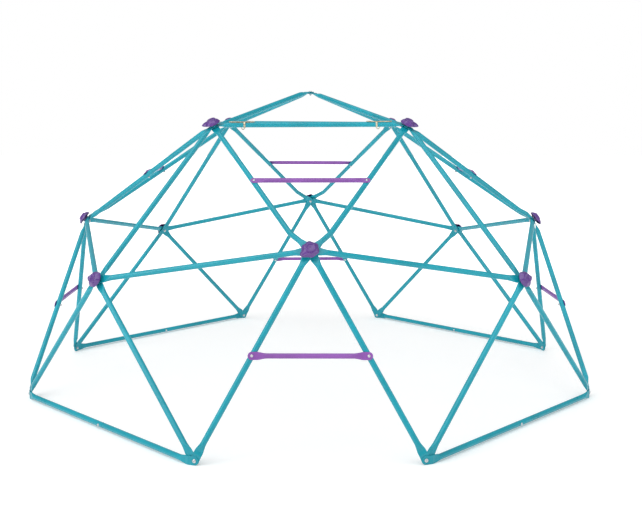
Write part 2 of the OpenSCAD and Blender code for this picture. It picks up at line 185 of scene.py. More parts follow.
# Degrees seen from the dome's centre, round from the front or up from the ground
foot_azimuth = 18.4
corner_elevation = 26.3
top_elevation = 63.6
ladder_elevation = 34.5
ladder_inset = 0.026
apex_lift = 0.020
foot = {hand: polar(dome_radius, hand*foot_azimuth, 0) for hand in (-1, 1)}
next_foot = polar(dome_radius, 90 - foot_azimuth, 0)
corner = {hand: polar(dome_radius, hand*45, corner_elevation) for hand in (-1, 1)}
top = {hand: polar(dome_radius, hand*45, top_elevation) for hand in (-1, 1)}
ladder_joint = polar(dome_radius - ladder_inset, 0, ladder_elevation)
apex = polar(dome_radius + apex_lift, 0, 90)

# Flats that share the bolt of each kind of joint
AT_FOOT, AT_CORNER, AT_LADDER, AT_TOP, AT_APEX = 3, 5, 6, 6, 4


def half_stack(count):
    """Distance from the middle of a joint's stack of flats to its outermost face."""
    return (count*flat_pitch - (flat_pitch - flat_gauge))/2


# ---- The frame's bars ----
# Round steel tube, crushed flat at both ends, bent at the end of the flat and drilled for
# the joint bolt, then powder coated turquoise. Straight bars reach from joint to joint.

half_flat = crushed_width(tube_d)/2
bend_room = 0.0047
bend_reach = half_flat + bend_room
foot_bend_share = 1.555
foot_bend_reach = half_flat*foot_bend_share
flat_bend_r = 0.012
flat_run_share = 0.75
flat_run = half_flat*flat_run_share
taper_length = 0.040
joint_hole_d = 0.0086
flat_drill_depth = 0.01


class End:
    """A crushed end: its joint, its place in that joint's stack counted from the inside,
    the number of flats in the stack, and how far from the bolt the flat bends."""

    def __init__(self, joint, place, stack, reach=bend_reach):
        self.joint = joint
        self.out = outward(joint)
        self.bolt = joint + self.out*(place - (stack - 1)/2)*flat_pitch
        self.reach = reach

    def heading(self, target):
        return across(target - self.joint, self.out).normalized()

    def bend(self, target):
        return self.bolt + self.heading(target)*self.reach


def tube_ring(diameter, opened, wide, thick=1):
    """Points round a section of tube as (across, out). opened is 0 where the tube is
    crushed flat and 1 where it is round; wide is half the width of its flat, and thick
    the share that is left of its thickness."""
    side_steps, top_steps, least_share = 3, 7, 1e-9
    thin = flat_gauge/2
    side = thin*pi/2/(thin*pi/2 + crushed_width(diameter)/2 - thin)
    round_r = thin + (diameter/2 - thin)*opened
    straight = (wide - thin)*(1 - opened)
    arc_share = round_r*pi/2/(round_r*pi/2 + straight)
    shares = [side*i/side_steps for i in range(side_steps)]
    shares += [side + (1 - side)*i/top_steps for i in range(top_steps + 1)]
    quarter = []
    for share in shares:
        turn = min(share/arc_share, 1)*pi/2
        past = max(share - arc_share, 0)/max(1 - arc_share, least_share)*straight
        quarter.append((straight + round_r*cos(turn) - past, round_r*sin(turn)*thick))
    ring = quarter[:-1] + [(-x, y) for x, y in reversed(quarter)][:-1]
    return ring + [(-x, -y) for x, y in ring]


def crushed_stations(bolt, flat_out, bend, onward, diameter=tube_d, run=flat_run):
    """Sections of a crushed end from its tip, round its bolt, to where it is round, each as
    its centre, its across and out directions, and the points round it."""
    wide = crushed_width(diameter)/2
    along = (bend - bolt).normalized()
    rounded_tip = ((5, 0.5), (9, 0.85))
    tip_pull = 0.6
    tip_start, tip_step = 14, 6
    least_turn = 0.01
    stations = []

    def add(centre, heading, out, opened, half=wide, thick=1):
        stations.append((centre, heading.cross(out), out,
                         tube_ring(diameter, opened, half, thick)))

    # The sheared edge of the tip is rubbed round, so its first sections are thinner
    for degrees_round, thick in rounded_tip:
        a = radians(degrees_round)
        add(bolt - along*wide*cos(a*tip_pull), along, flat_out, 0, wide*sin(a), thick)
    for degrees_round in range(tip_start, 91, tip_step):
        a = radians(degrees_round)
        add(bolt - along*wide*cos(a), along, flat_out, 0, wide*sin(a))
    turn = along.angle(onward)
    inset = flat_bend_r*tan(turn/2)
    turned = along.rotation_difference(onward)
    bend_steps = 6 if turn > least_turn else 0
    for step in range(bend_steps + 1):
        t = step/max(bend_steps, 1)
        part = Quaternion().slerp(turned, t)
        centre = ((bend - along*inset)*(1 - t)**2 + bend*2*t*(1 - t)
                  + (bend + onward*inset)*t*t)
        add(centre, part @ along, part @ flat_out, 0)
    new_out = turned @ flat_out
    add(bend + onward*run, onward, new_out, 0)
    # The tube springs open fast where the press let go of it, then eases into its round
    taper_steps, early_share = 14, 0.45
    for step in range(1, taper_steps + 1):
        u = step/taper_steps
        opened = early_share*(1 - (1 - u)**2) + (1 - early_share)*u*u*(3 - 2*u)
        add(bend + onward*(run + u*taper_length), onward, new_out, opened)
    return stations


def from_far_end(stations):
    """The same sections in the other order, for the far end of a bar."""
    return [(centre, -side, out, ring) for centre, side, out, ring in reversed(stations)]


def loft(name, stations):
    """A closed skin over sections that have the same number of points."""
    mesh = bmesh.new()
    rings = [[mesh.verts.new(centre + side*x + out*y) for x, y in ring]
             for centre, side, out, ring in stations]
    for near, far in zip(rings, rings[1:]):
        for i in range(len(near)):
            j = (i + 1) % len(near)
            mesh.faces.new((near[i], near[j], far[j], far[i]))
    mesh.faces.new(rings[0])
    mesh.faces.new(rings[-1])
    bmesh.ops.recalc_face_normals(mesh, faces=mesh.faces)
    return new_piece(name, mesh)


def new_piece(name, mesh):
    """An object at the origin that takes over a finished bmesh."""
    data = bpy.data.meshes.new(name)
    mesh.to_mesh(data)
    mesh.free()
    piece = bpy.data.objects.new(name, data)
    scene.collection.objects.link(piece)
    return piece


def freeze(piece):
    """Turns a piece and its modifiers into a plain mesh."""
    evaluated = piece.evaluated_get(bpy.context.evaluated_depsgraph_get())
    data = bpy.data.meshes.new_from_object(evaluated)
    piece.modifiers.clear()
    piece.data = data


def drill(piece, holes):
    """Cuts round holes, each (point, axis, diameter, depth both ways), through a piece."""
    mesh = bmesh.new()
    for point, axis, diameter, depth in holes:
        turned = axis.to_track_quat("Z", "Y").to_matrix().to_4x4()
        bmesh.ops.create_cone(mesh, cap_ends=True, segments=32, radius1=diameter/2,
                              radius2=diameter/2, depth=2*depth,
                              matrix=Matrix.Translation(point) @ turned)
    cutter = new_piece("drill_bits", mesh)
    cut = piece.modifiers.new("drill", "BOOLEAN")
    cut.solver = "MANIFOLD"
    cut.object = cutter
    freeze(piece)
    bpy.data.objects.remove(cutter)


def finish_steel(piece, paint):
    """Smooth shading with crisp drilled edges, the paint, and the piece's place on the body."""
    piece.data.shade_smooth()
    piece.data.set_sharp_from_angle(angle=radians(40))
    piece.data.materials.clear()
    piece.data.materials.append(paint)
    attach(piece, "root")


def on_four_sides(piece, node, name, paint):
    """Copies of a front piece, one for each side of the dome, in place of the CAD nodes."""
    for turn, side in enumerate(SIDES):
        data = piece.data.copy()
        data.transform(Matrix.Rotation(radians(90*turn), 4, "Z"))
        copy = bpy.data.objects.new(name.format(side=side), data)
        scene.collection.objects.link(copy)
        finish_steel(copy, paint)
        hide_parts(node.format(side=side))
    bpy.data.objects.remove(piece)


def powder_coat(name, colour, roughness):
    """Stoved powder paint: a glossy skin with a fine orange peel, small pale and dark
    flecks, and a slow drift of its shade along the tube."""
    paint = bpy.data.materials.new(name)
    paint.use_nodes = True
    nodes, links = paint.node_tree.nodes, paint.node_tree.links
    shader = nodes["Principled BSDF"]
    shader.inputs["Coat Weight"].default_value = 0.12
    shader.inputs["Coat Roughness"].default_value = 0.12
    shader.inputs["Specular IOR Level"].default_value = 0.38
    where = nodes.new("ShaderNodeTexCoord")
    drift = nodes.new("ShaderNodeTexNoise")
    drift.inputs["Scale"].default_value = 7
    drift.inputs["Detail"].default_value = 3
    links.new(where.outputs["Object"], drift.inputs["Vector"])
    shades = nodes.new("ShaderNodeValToRGB")
    shades.color_ramp.elements[0].position = 0.3
    shades.color_ramp.elements[1].position = 0.7
    shades.color_ramp.elements[0].color = (*[c*0.88 for c in colour], 1)
    shades.color_ramp.elements[1].color = (*[min(c*1.1, 1) for c in colour], 1)
    links.new(drift.outputs["Fac"], shades.inputs["Fac"])
    flecks = nodes.new("ShaderNodeTexNoise")
    flecks.inputs["Scale"].default_value = 420
    flecks.inputs["Detail"].default_value = 4
    links.new(where.outputs["Object"], flecks.inputs["Vector"])
    fleck_strength = nodes.new("ShaderNodeMapRange")
    fleck_strength.inputs["From Min"].default_value = 0.3
    fleck_strength.inputs["From Max"].default_value = 0.7
    fleck_strength.inputs["To Min"].default_value = 0.9
    fleck_strength.inputs["To Max"].default_value = 1.1
    links.new(flecks.outputs["Fac"], fleck_strength.inputs["Value"])
    tinted = nodes.new("ShaderNodeVectorMath")
    tinted.operation = "SCALE"
    links.new(shades.outputs["Color"], tinted.inputs[0])
    links.new(fleck_strength.outputs["Result"], tinted.inputs["Scale"])
    links.new(tinted.outputs["Vector"], shader.inputs["Base Color"])
    gloss = nodes.new("ShaderNodeMapRange")
    gloss.inputs["From Min"].default_value = 0.3
    gloss.inputs["From Max"].default_value = 0.7
    gloss.inputs["To Min"].default_value = roughness*0.8
    gloss.inputs["To Max"].default_value = roughness*1.25
    links.new(drift.outputs["Fac"], gloss.inputs["Value"])
    links.new(gloss.outputs["Result"], shader.inputs["Roughness"])
    peel = nodes.new("ShaderNodeTexNoise")
    peel.inputs["Scale"].default_value = 650
    peel.inputs["Detail"].default_value = 1.5
    links.new(where.outputs["Object"], peel.inputs["Vector"])
    bump = nodes.new("ShaderNodeBump")
    bump.inputs["Strength"].default_value = 0.35
    bump.inputs["Distance"].default_value = 0.00012
    links.new(peel.outputs["Fac"], bump.inputs["Height"])
    links.new(bump.outputs["Normal"], shader.inputs["Normal"])
    return paint


turquoise = powder_coat("turquoise_powder_coat", (0.004, 0.315, 0.40), 0.32)


def straight_tube(name, start, finish, cross_holes=()):
    """A straight bar between two crushed ends, drilled for its bolts."""
    near, far = start.bend(finish.joint), finish.bend(start.joint)
    direction = (far - near).normalized()
    bar = loft(name, crushed_stations(start.bolt, start.out, near, direction)
               + from_far_end(crushed_stations(finish.bolt, finish.out, far, -direction)))
    drill(bar, [(start.bolt, start.out, joint_hole_d, flat_drill_depth),
                (finish.bolt, finish.out, joint_hole_d, flat_drill_depth), *cross_holes])
    return bar


# The roof: four bars up to the apex, four round the top square and four down from its
# corners. Each apex bar lies one place further out in the apex's stack of flats.
for turn, side in enumerate(SIDES):
    bar = straight_tube(f"apex_bar_{side}_tube", End(apex, turn, AT_APEX), End(top[1], 0, AT_TOP))
    bar.data.transform(Matrix.Rotation(radians(90*turn), 4, "Z"))
    finish_steel(bar, turquoise)
    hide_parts(f"apex_bar_{side}")
on_four_sides(straight_tube("top_bar", End(top[-1], 3, AT_TOP), End(top[1], 5, AT_TOP)),
              "top_bar_{side}", "top_bar_{side}_tube", turquoise)
on_four_sides(straight_tube("slope_bar", End(top[1], 4, AT_TOP), End(corner[1], 0, AT_CORNER)),
              "slope_bar_{side}", "slope_bar_{side}_tube", turquoise)

# The ring at mid height and the corner legs
for letter, hand in HANDS.items():
    right = hand > 0
    ring = straight_tube("ring_bar", End(ladder_joint, 3 if right else 2, AT_LADDER),
                         End(corner[hand], 2 if right else 3, AT_CORNER))
    on_four_sides(ring, "ring_bar_{side}_" + letter, "ring_bar_{side}_" + letter + "_tube",
                  turquoise)
    leg = straight_tube("corner_leg", End(corner[hand], 4 if right else 1, AT_CORNER),
                        End(foot[hand], 0, AT_FOOT, foot_bend_reach))
    on_four_sides(leg, "corner_leg_{side}_" + letter, "corner_leg_{side}_" + letter + "_tube",
                  turquoise)

# ---- The ladders' legs and rails ----
# Each ladder leg runs straight from the ladder joint to a foot. Its rails carry on up to the
# top joints and are bent inwards at their lower end. Both are cross drilled for a rung.

rail_bend_out = dome_radius - 0.060
rail_bend_elevation = radians(38.6)
rail_bend_half_width = 0.087
rail_bend_r = 0.090
rail_bend_level = rail_bend_out*cos(rail_bend_elevation)
rail_bend = {hand: dome_centre + Vector((
    hand*rail_bend_half_width, -sqrt(rail_bend_level**2 - rail_bend_half_width**2),
    rail_bend_out*sin(rail_bend_elevation))) for hand in (-1, 1)}
leg_ends = {hand: (End(ladder_joint, 1 if hand > 0 else 4, AT_LADDER),
                   End(foot[hand], 1, AT_FOOT, foot_bend_reach)) for hand in (-1, 1)}
rail_ends = {hand: (End(top[hand], 2 if hand > 0 else 1, AT_TOP),
                    End(ladder_joint, 0 if hand > 0 else 5, AT_LADDER)) for hand in (-1, 1)}
leg_line = {hand: (upper.bend(lower.joint), lower.bend(upper.joint))
            for hand, (upper, lower) in leg_ends.items()}
rail_line = {hand: (upper.bend(rail_bend[hand]), rail_bend[hand])
             for hand, (upper, lower) in rail_ends.items()}


class RungPlace:
    """Where a rung's two bolts meet the middle of the tubes behind it, left then right,
    and the directions along the rung and away from the ladder."""

    def __init__(self, lines, share):
        self.points = [lines[hand][0].lerp(lines[hand][1], share) for hand in (-1, 1)]
        self.along = (self.points[1] - self.points[0]).normalized()
        slope = sum(((line[1] - line[0]).normalized() for line in lines.values()), Vector())
        self.out = slope.cross(self.along).normalized()


lower_rung_share = 0.51
upper_rung_share = 0.55
lower_rung_place = RungPlace(leg_line, lower_rung_share)
upper_rung_place = RungPlace(rail_line, upper_rung_share)
cross_hole_d = 0.0066


def bent_rail(hand):
    """A ladder rail: crushed end, long run, smooth bend, short run and crushed end."""
    upper, lower = rail_ends[hand]
    start, knee = rail_line[hand]
    last = lower.bend(rail_bend[hand])
    along, onward = (knee - start).normalized(), (last - knee).normalized()
    near = crushed_stations(upper.bolt, upper.out, start, along)
    far = from_far_end(crushed_stations(lower.bolt, lower.out, last, -onward))
    turn = along.rotation_difference(onward)
    inset = rail_bend_r*tan(along.angle(onward)/2)
    near_out, far_out = near[-1][2], turn.inverted() @ far[0][2]
    # The two flats don't face the same way, so the sections turn about the long run
    twist = near_out.angle(far_out)
    if near_out.cross(far_out).dot(along) < 0:
        twist = -twist
    round_ring = tube_ring(tube_d, 1, crushed_width(tube_d)/2)
    middle = []
    run_start, run_end = near[-1][0], knee - along*inset
    run_steps, bend_steps = 12, 14
    for step in range(1, run_steps + 1):
        out = Quaternion(along, twist*step/run_steps) @ near_out
        middle.append((run_start.lerp(run_end, step/run_steps), along.cross(out), out,
                       round_ring))
    turned_out = middle[-1][2]
    side_in = across(onward, along).normalized()
    pivot = run_end + side_in*rail_bend_r
    for step in range(1, bend_steps + 1):
        part = Quaternion().slerp(turn, step/bend_steps)
        out = part @ turned_out
        middle.append((pivot + part @ (run_end - pivot), (part @ along).cross(out), out,
                       round_ring))
    rail = loft("ladder_rail", near + middle + far)
    drill(rail, [(upper.bolt, upper.out, joint_hole_d, flat_drill_depth),
                 (lower.bolt, lower.out, joint_hole_d, flat_drill_depth),
                 (upper_rung_place.points[0 if hand < 0 else 1], upper_rung_place.out,
                  cross_hole_d, tube_d)])
    return rail


for letter, hand in HANDS.items():
    leg = straight_tube("ladder_leg", *leg_ends[hand], [
        (lower_rung_place.points[0 if hand < 0 else 1], lower_rung_place.out,
         cross_hole_d, tube_d)])
    on_four_sides(leg, "ladder_leg_{side}_" + letter, "ladder_leg_{side}_" + letter + "_tube",
                  turquoise)
    on_four_sides(bent_rail(hand), "ladder_rail_{side}_" + letter,
                  "ladder_rail_{side}_" + letter + "_tube", turquoise)

# ---- The ground bars ----
# Two tubes make each bar on the ground. One ends in a swaged spigot that slides into the
# plain mouth of the other, and a cross bolt through both holds them.

ground_ends = (End(foot[1], 2, AT_FOOT, foot_bend_reach),
               End(next_foot, 2, AT_FOOT, foot_bend_reach))
ground_start = ground_ends[0].bend(next_foot)
ground_end = ground_ends[1].bend(foot[1])
ground_along = (ground_end - ground_start).normalized()
ground_middle = (ground_start + ground_end)/2
ground_rise = across(outward(foot[1]), ground_along).normalized()
bore_d = tube_d - 2*tube_wall
bore_depth = 0.09
spigot_gap = 0.0003
spigot_d = bore_d - spigot_gap
spigot_bore_d = spigot_d - 2*tube_wall
spigot_length = 0.055
swage_length = 0.008
swage_start, swage_end = (0.7, 0.0006), (0.2, 0.0004)
lip = 0.0004


def open_ended(name, stations, direction, profile):
    """A crushed end whose round tube goes on through (distance from the ground bar's
    middle along direction, diameter) and ends open, with its bore turned back inside."""
    side, out = stations[-1][1], stations[-1][2]
    for distance, diameter in profile:
        stations.append((ground_middle + direction*distance, side, out,
                         tube_ring(diameter, 1, crushed_width(diameter)/2)))
    half = loft(name, stations)
    drill(half, [(ground_middle, ground_rise, cross_hole_d, tube_d)])
    return half


mouth = spigot_length/2
socket_half = open_ended(
    "ground_socket_half",
    crushed_stations(ground_ends[0].bolt, ground_ends[0].out, ground_start, ground_along),
    ground_along,
    [(0, tube_d), (mouth - lip, tube_d), (mouth, tube_d - 2*lip), (mouth, bore_d + lip),
     (mouth - lip, bore_d), (mouth - bore_depth, bore_d)])
shoulder = mouth + paint_gap
tip = shoulder - spigot_length
spigot_half = open_ended(
    "ground_spigot_half",
    crushed_stations(ground_ends[1].bolt, ground_ends[1].out, ground_end, -ground_along),
    ground_along,
    [(shoulder + 2*swage_length, tube_d), (shoulder + swage_length, tube_d),
     (shoulder + swage_length*swage_start[0], tube_d - swage_start[1]),
     (shoulder + swage_length*swage_end[0], spigot_d + swage_end[1]),
     (shoulder, spigot_d), (tip + lip, spigot_d), (tip, spigot_d - 2*lip),
     (tip, spigot_bore_d + lip), (tip + lip, spigot_bore_d),
     (shoulder - lip, spigot_bore_d)])
on_four_sides(socket_half, "ground_socket_halves", "ground_socket_half_{side}", turquoise)
on_four_sides(spigot_half, "ground_spigot_halves", "ground_spigot_half_{side}", turquoise)

# ---- The rungs ----
# Shorter, thinner tubes, crushed at both ends and bolted on to the outside of the ladders'
# legs and rails. They are powder coated purple.

rung_d = 0.022
saddle_gap = 0.0003
rung_flat = 0.024
purple = powder_coat("purple_powder_coat", (0.25, 0.085, 0.38), 0.36)


def rung(name, place):
    """A rung whose crushed ends lie on the tubes behind it."""
    seat = place.out*(tube_d/2 + saddle_gap + flat_gauge/2)
    bolts = [point + seat for point in place.points]
    stations = []
    for bolt, direction in ((bolts[0], place.along), (bolts[1], -place.along)):
        stations.append(crushed_stations(bolt, place.out, bolt + direction*rung_flat/2,
                                         direction, rung_d, rung_flat/2))
    piece = loft(name, stations[0] + from_far_end(stations[1]))
    drill(piece, [(bolt, place.out, cross_hole_d, flat_drill_depth) for bolt in bolts])
    return piece


on_four_sides(rung("lower_rung", lower_rung_place), "lower_rung_{side}",
              "lower_rung_{side}_tube", purple)
on_four_sides(rung("upper_rung", upper_rung_place), "upper_rung_{side}",
              "upper_rung_{side}_tube", purple)

# ---- The bolts and nuts ----
# Zinc plated M8 bolts with domed socket heads clamp each joint's stack of flats, and M6 ones
# hold the rungs and the ground bars. Each ends in a flanged hexagon nut on the inside.

zinc = bpy.data.materials.new("zinc_plate")
zinc.use_nodes = True
zinc_nodes, zinc_links = zinc.node_tree.nodes, zinc.node_tree.links
zinc_shader = zinc_nodes["Principled BSDF"]
zinc_shader.inputs["Metallic"].default_value = 1
zinc_where = zinc_nodes.new("ShaderNodeTexCoord")
spangle = zinc_nodes.new("ShaderNodeTexNoise")
spangle.inputs["Scale"].default_value = 260
spangle.inputs["Detail"].default_value = 5
zinc_links.new(zinc_where.outputs["Object"], spangle.inputs["Vector"])
zinc_shades = zinc_nodes.new("ShaderNodeValToRGB")
zinc_shades.color_ramp.elements[0].position = 0.32
zinc_shades.color_ramp.elements[0].color = (0.52, 0.53, 0.55, 1)
zinc_shades.color_ramp.elements[1].position = 0.68
zinc_shades.color_ramp.elements[1].color = (0.76, 0.77, 0.78, 1)
zinc_links.new(spangle.outputs["Fac"], zinc_shades.inputs["Fac"])
zinc_links.new(zinc_shades.outputs["Color"], zinc_shader.inputs["Base Color"])
zinc_dull = zinc_nodes.new("ShaderNodeMapRange")
zinc_dull.inputs["From Min"].default_value = 0.3
zinc_dull.inputs["From Max"].default_value = 0.7
zinc_dull.inputs["To Min"].default_value = 0.24
zinc_dull.inputs["To Max"].default_value = 0.42
zinc_links.new(spangle.outputs["Fac"], zinc_dull.inputs["Value"])
zinc_links.new(zinc_dull.outputs["Result"], zinc_shader.inputs["Roughness"])
tool_marks = zinc_nodes.new("ShaderNodeTexNoise")
tool_marks.inputs["Scale"].default_value = 1500
zinc_links.new(zinc_where.outputs["Object"], tool_marks.inputs["Vector"])
zinc_bump = zinc_nodes.new("ShaderNodeBump")
zinc_bump.inputs["Strength"].default_value = 0.2
zinc_bump.inputs["Distance"].default_value = 0.00005
zinc_links.new(tool_marks.outputs["Fac"], zinc_bump.inputs["Height"])
zinc_links.new(zinc_bump.outputs["Normal"], zinc_shader.inputs["Normal"])

joint_bolt_d = 0.008
cross_bolt_d = 0.006
thread_tail = 0.003
socket_chamfer = 0.0003
nut_height_share = 0.8
nut_flange_rim = 0.0005
nut_flange_back = 0.001
nut_flange_root = 0.0013
nut_bore_chamfer = 0.0006


def hexagon_reach(flats, angle):
    """Distance from the middle of a hexagon to its side in that direction."""
    return flats/2/cos((angle + pi/6) % (pi/3) - pi/6)


def turned_part(name, profile, bored=False, steps=48):
    """A part whose sections round Z are given from one end to the other, each as its
    height and a function of the angle that gives its radius. Its two ends are closed, or,
    where it is bored right through, its last section is joined to its first."""
    mesh = bmesh.new()
    angles = [2*pi*i/steps for i in range(steps)]
    rings = [[mesh.verts.new((radius(a)*cos(a), radius(a)*sin(a), z)) for a in angles]
             for z, radius in profile]
    for near, far in zip(rings, rings[1:] + rings[:1] if bored else rings[1:]):
        for i in range(steps):
            j = (i + 1) % steps
            mesh.faces.new((near[i], near[j], far[j], far[i]))
    if not bored:
        mesh.faces.new(rings[0])
        mesh.faces.new(rings[-1])
    bmesh.ops.recalc_face_normals(mesh, faces=mesh.faces)
    return new_piece(name, mesh)


def round_to(radius):
    return lambda angle: radius


def bolt(d, seat, below):
    """A bolt along Z, from its chamfered tip at z = -below up its thread and plain shank
    to a domed head that sits on z = seat and has a hexagon socket."""
    head_r, rise, rim, lean = 1.04*d, 0.58*d, 0.1*d, radians(66)
    socket, socket_depth = 0.62*d, 0.36*d
    pitch, ridges = 0.15*d, 8
    tip_r, root_r, crest_r = 0.36*d, 0.44*d, 0.495*d
    profile = [(-below, round_to(tip_r)), (-below + pitch*0.5, round_to(root_r))]
    for ridge in range(ridges):
        z = pitch*(ridge + 0.5) - below
        profile += [(z + pitch*0.45, round_to(crest_r)), (z + pitch*0.95, round_to(root_r))]
    profile += [(profile[-1][0] + pitch, round_to(d/2)), (seat, round_to(d/2)),
                (seat, round_to(head_r*0.96)), (seat + rim*0.4, round_to(head_r))]
    dome_steps, crown_share = 10, 0.42
    for step in range(dome_steps + 1):
        a = lean*step/dome_steps
        share = crown_share + (1 - crown_share)*(cos(a) - cos(lean))/(1 - cos(lean))
        profile.append((seat + rim + (rise - rim)*sin(a)/sin(lean), round_to(head_r*share)))
    crown = profile[-1][0]
    profile += [(crown, lambda angle: hexagon_reach(socket, angle) + socket_chamfer),
                (crown - socket_chamfer, lambda angle: hexagon_reach(socket, angle)),
                (crown - socket_depth, lambda angle: hexagon_reach(socket, angle)),
                (crown - socket_depth*1.15, round_to(socket*0.2))]
    return turned_part("bolt", profile)


def flange_nut(d, seat):
    """A hexagon nut whose round flange lies against z = -seat, with a plain bore."""
    height, flats, bore, flange_r = nut_height_share*d, 1.62*d, d*0.51, (1.88*d + 0.001)/2
    profile = [(0, round_to(bore)), (0, round_to(flange_r*0.97)),
               (-nut_flange_rim, round_to(flange_r)),
               (-nut_flange_back, round_to(flange_r*0.99)),
               (-nut_flange_root, lambda angle: hexagon_reach(flats, angle)),
               (-height*0.84, lambda angle: hexagon_reach(flats, angle)),
               (-height*0.93, lambda angle: min(hexagon_reach(flats, angle), flats*0.53)),
               (-height, round_to(flats*0.46)), (-height, round_to(bore*1.12)),
               (-height + nut_bore_chamfer, round_to(bore))]
    profile = [(z - seat, radius) for z, radius in profile]
    return turned_part("flange_nut", profile, bored=True)


def parts_on_points():
    """The tree that sets one part on every point, turned as the point says."""
    tree = bpy.data.node_groups.new("parts_on_points", "GeometryNodeTree")
    face = tree.interface
    face.new_socket("Points", in_out="INPUT", socket_type="NodeSocketGeometry")
    face.new_socket("Part", in_out="INPUT", socket_type="NodeSocketObject")
    face.new_socket("Finish", in_out="INPUT", socket_type="NodeSocketMaterial")
    face.new_socket("Parts", in_out="OUTPUT", socket_type="NodeSocketGeometry")
    nodes, links = tree.nodes, tree.links
    given, made = nodes.new("NodeGroupInput"), nodes.new("NodeGroupOutput")
    part = nodes.new("GeometryNodeObjectInfo")
    links.new(given.outputs["Part"], part.inputs["Object"])
    turn = nodes.new("GeometryNodeInputNamedAttribute")
    turn.data_type = "FLOAT_VECTOR"
    turn.inputs["Name"].default_value = "turn"
    as_rotation = nodes.new("FunctionNodeEulerToRotation")
    links.new(next(o for o in turn.outputs if o.enabled), as_rotation.inputs["Euler"])
    spread = nodes.new("GeometryNodeInstanceOnPoints")
    links.new(given.outputs["Points"], spread.inputs["Points"])
    links.new(part.outputs["Geometry"], spread.inputs["Instance"])
    links.new(as_rotation.outputs["Rotation"], spread.inputs["Rotation"])
    real = nodes.new("GeometryNodeRealizeInstances")
    links.new(spread.outputs["Instances"], real.inputs["Geometry"])
    finished = nodes.new("GeometryNodeSetMaterial")
    links.new(real.outputs["Geometry"], finished.inputs["Geometry"])
    links.new(given.outputs["Finish"], finished.inputs["Material"])
    links.new(finished.outputs["Geometry"], made.inputs["Parts"])
    return tree


part_tree = parts_on_points()


def set_out(name, part, places, finish, slot_name, *nodes):
    """A part set on every place, as one plain piece that stands for the CAD nodes."""
    data = bpy.data.meshes.new(name)
    data.from_pydata([place.translation for place in places], [], [])
    turns = data.attributes.new("turn", "FLOAT_VECTOR", "POINT")
    for item, place in zip(turns.data, places):
        item.vector = place.to_euler()
    piece = bpy.data.objects.new(name, data)
    scene.collection.objects.link(piece)
    setter = piece.modifiers.new("parts", "NODES")
    setter.node_group = part_tree
    for item in part_tree.interface.items_tree:
        if item.in_out == "INPUT" and item.name in ("Part", "Finish"):
            setter[item.identifier] = part if item.name == "Part" else finish
    freeze(piece)
    bpy.data.objects.remove(part)
    finish_steel(piece, finish)
    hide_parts(*nodes)


def place_at(point, x, z):
    """The matrix that stands a part on a point with its X and Z axes along x and z."""
    y = z.cross(x)
    return Matrix(((x.x, y.x, z.x, point.x), (x.y, y.y, z.y, point.y),
                   (x.z, y.z, z.z, point.z), (0, 0, 0, 1)))


def all_round(place):
    """The same place on each of the four sides."""
    return [Matrix.Rotation(radians(90*turn), 4, "Z") @ place for turn in range(4)]


def joint_place(joint):
    """A joint's bolt line: Z outwards, X level (and along X where the bolt is upright)."""
    out = outward(joint)
    least_lean = 0.01
    upright = hypot(out.x, out.y) < least_lean
    level = Vector((1, 0, 0)) if upright else Vector((-out.y, out.x, 0)).normalized()
    return place_at(joint, level, out)


joint_kinds = {
    "foot": (AT_FOOT, all_round(joint_place(foot[-1])) + all_round(joint_place(foot[1]))),
    "corner": (AT_CORNER, all_round(joint_place(corner[1]))),
    "ladder_joint": (AT_LADDER, all_round(joint_place(ladder_joint))),
    "top": (AT_TOP, all_round(joint_place(top[1]))),
    "apex": (AT_APEX, [joint_place(apex)])}
for kind, (count, places) in joint_kinds.items():
    seat = half_stack(count) + paint_gap
    below = half_stack(count) + nut_height_share*joint_bolt_d + thread_tail
    set_out(kind + "_bolts", bolt(joint_bolt_d, seat, below), places, zinc, "zinc_plate",
            "joint_bolts")
    set_out(kind + "_nuts", flange_nut(joint_bolt_d, seat), places, zinc, "zinc_plate",
            "joint_nuts")

cross_below = tube_d/2 + nut_height_share*cross_bolt_d + thread_tail
cross_nut_seat = tube_d/2 + paint_gap
rung_bolt_places = [spot for place in (lower_rung_place, upper_rung_place)
                    for point in place.points
                    for spot in all_round(place_at(point, place.along, place.out))]
set_out("rung_bolts", bolt(cross_bolt_d, tube_d/2 + saddle_gap + flat_gauge + paint_gap,
                           cross_below),
        rung_bolt_places, zinc, "zinc_plate", "cross_bolts")
set_out("rung_nuts", flange_nut(cross_bolt_d, cross_nut_seat), rung_bolt_places, zinc,
        "zinc_plate", "cross_nuts")
ground_bolt_places = all_round(place_at(ground_middle, ground_along, ground_rise))
set_out("ground_bar_bolts", bolt(cross_bolt_d, cross_nut_seat, cross_below),
        ground_bolt_places, zinc, "zinc_plate", "cross_bolts")
set_out("ground_bar_nuts", flange_nut(cross_bolt_d, cross_nut_seat), ground_bolt_places, zinc,
        "zinc_plate", "cross_nuts")

# ---- The joint caps ----
# Purple moulded polyethylene covers that press over the bolt heads of the ladder, corner
# and top joints. Each is a deep dome with six lobes, one of them drawn out into a beak,
# and a wide dished boss with a dimple on top.

